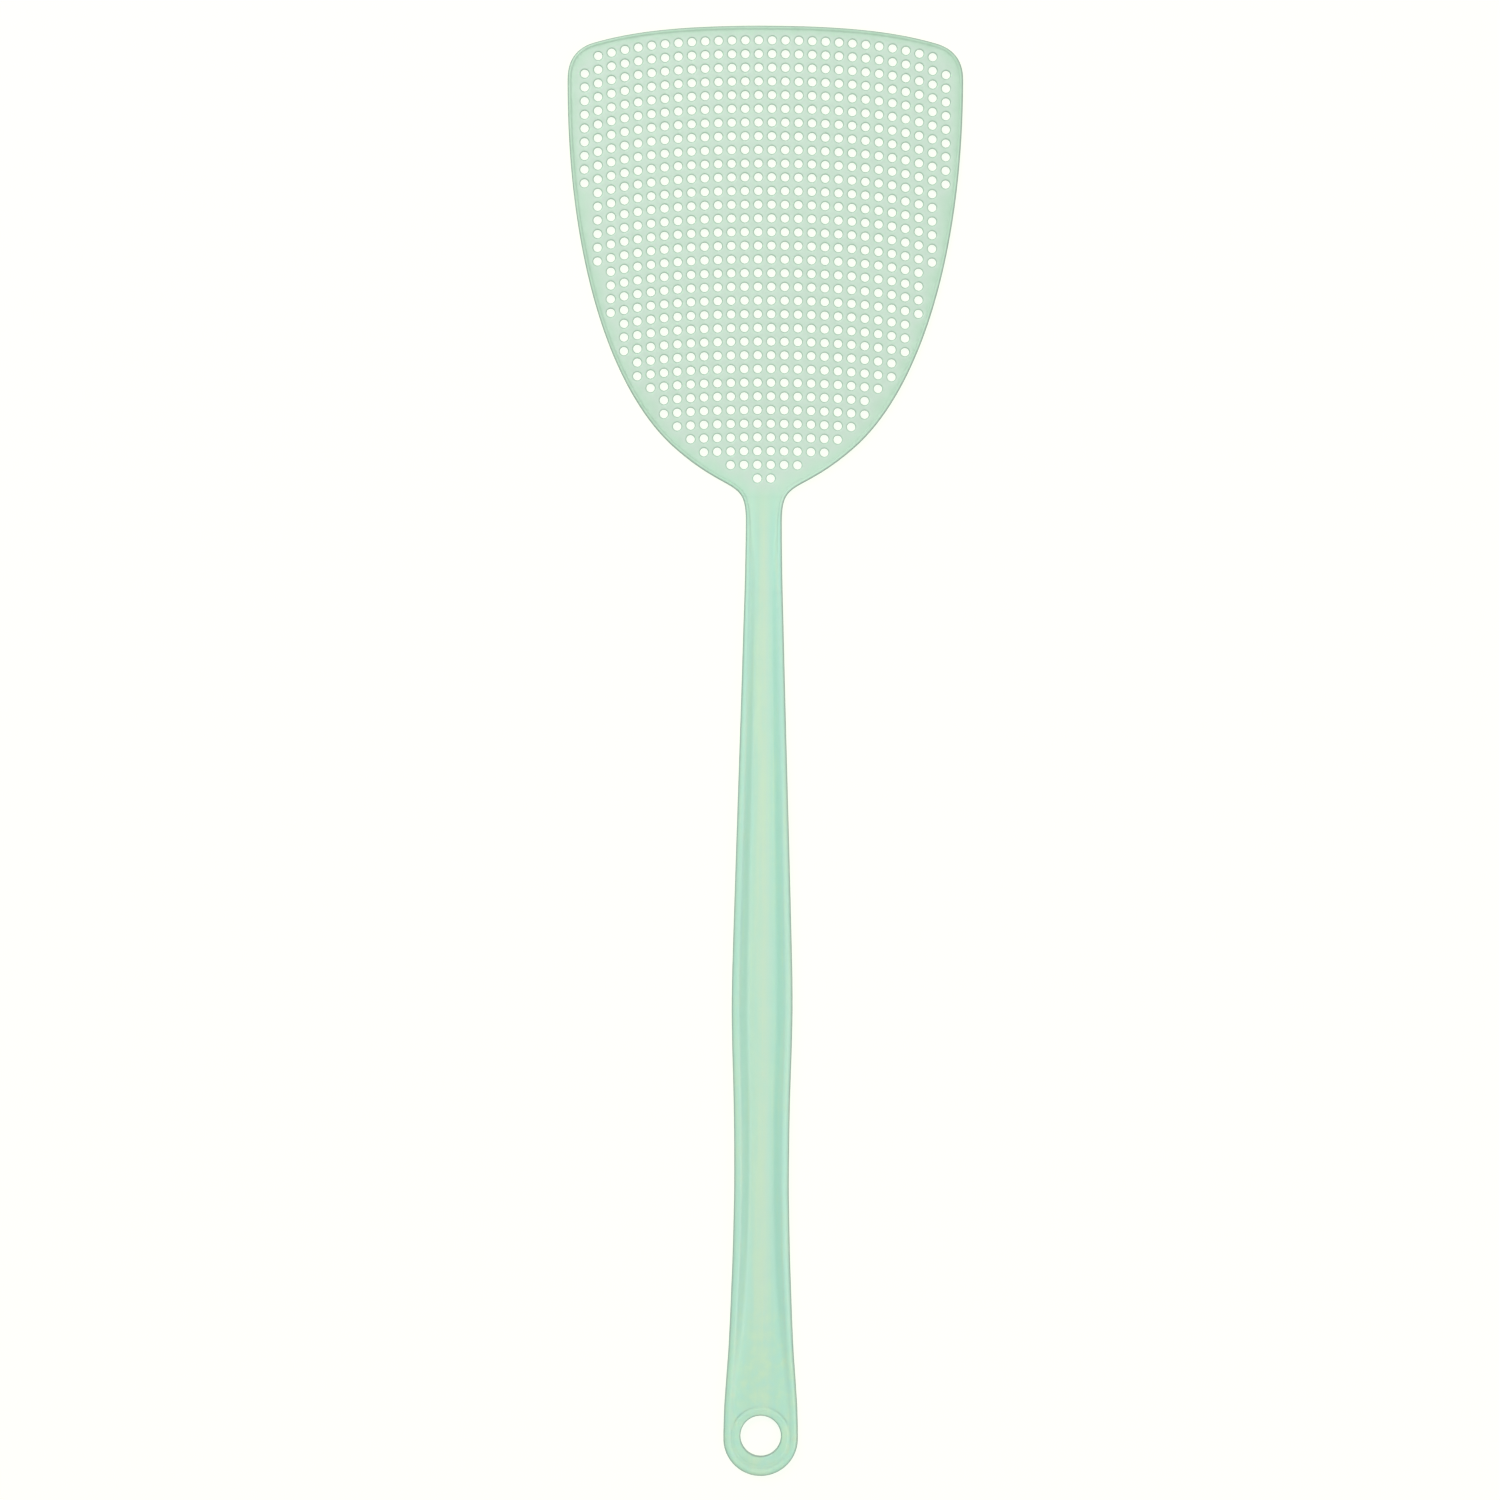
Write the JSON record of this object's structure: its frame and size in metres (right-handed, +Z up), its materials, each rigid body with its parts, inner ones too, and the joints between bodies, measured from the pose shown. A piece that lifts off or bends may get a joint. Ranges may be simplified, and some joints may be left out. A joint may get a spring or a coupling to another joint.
{
  "type": "fly swatter",
  "caption": "Fly swatter moulded in one piece: a shield-shaped perforated head with a raised rim, a thin flexing neck, a channel handle and a round hang hole.",
  "frame": {"origin": "centre of the base of the bounding box: on the surface that the swatter lies on, halfway along it", "axes": "+Y along the handle towards the head's top edge, +X across the head, +Z up out of the face with the handle's open channel"},
  "size_m": [0.12, 0.44, 0.0047],
  "materials": {
    "head_plastic": "satin grey-mint polypropylene, faintly mottled",
    "rim_plastic": "smooth satin mint-green polypropylene",
    "channel_plastic": "satin mint-green polypropylene, slightly greyer than the rails",
    "handle_plastic": "smooth satin mint-green polypropylene with soft flow streaks"
  },
  "bodies": {
    "handle": {"handle_floor": "channel_plastic", "handle_rail_left": "handle_plastic", "handle_rail_right": "handle_plastic", "hang_eye": "handle_plastic", "hang_eye_rim": "handle_plastic", "neck_web": "channel_plastic", "neck_bead_left": "rim_plastic", "neck_bead_right": "rim_plastic"},
    "head": {"head_grid_upper": "head_plastic", "head_grid_lower": "head_plastic", "head_rim": "rim_plastic"}
  },
  "joints": [
    {"name": "neck_flex", "type": "hinge", "parent": "handle", "child": "head", "pos_m": [0, 0.0625, 0.0011], "axis": [1, 0, 0], "range_deg": [-25, 25], "stiffness_Nm_per_rad": 0.5, "deforming": ["neck_web", "neck_bead_left", "neck_bead_right"]}
  ]
}
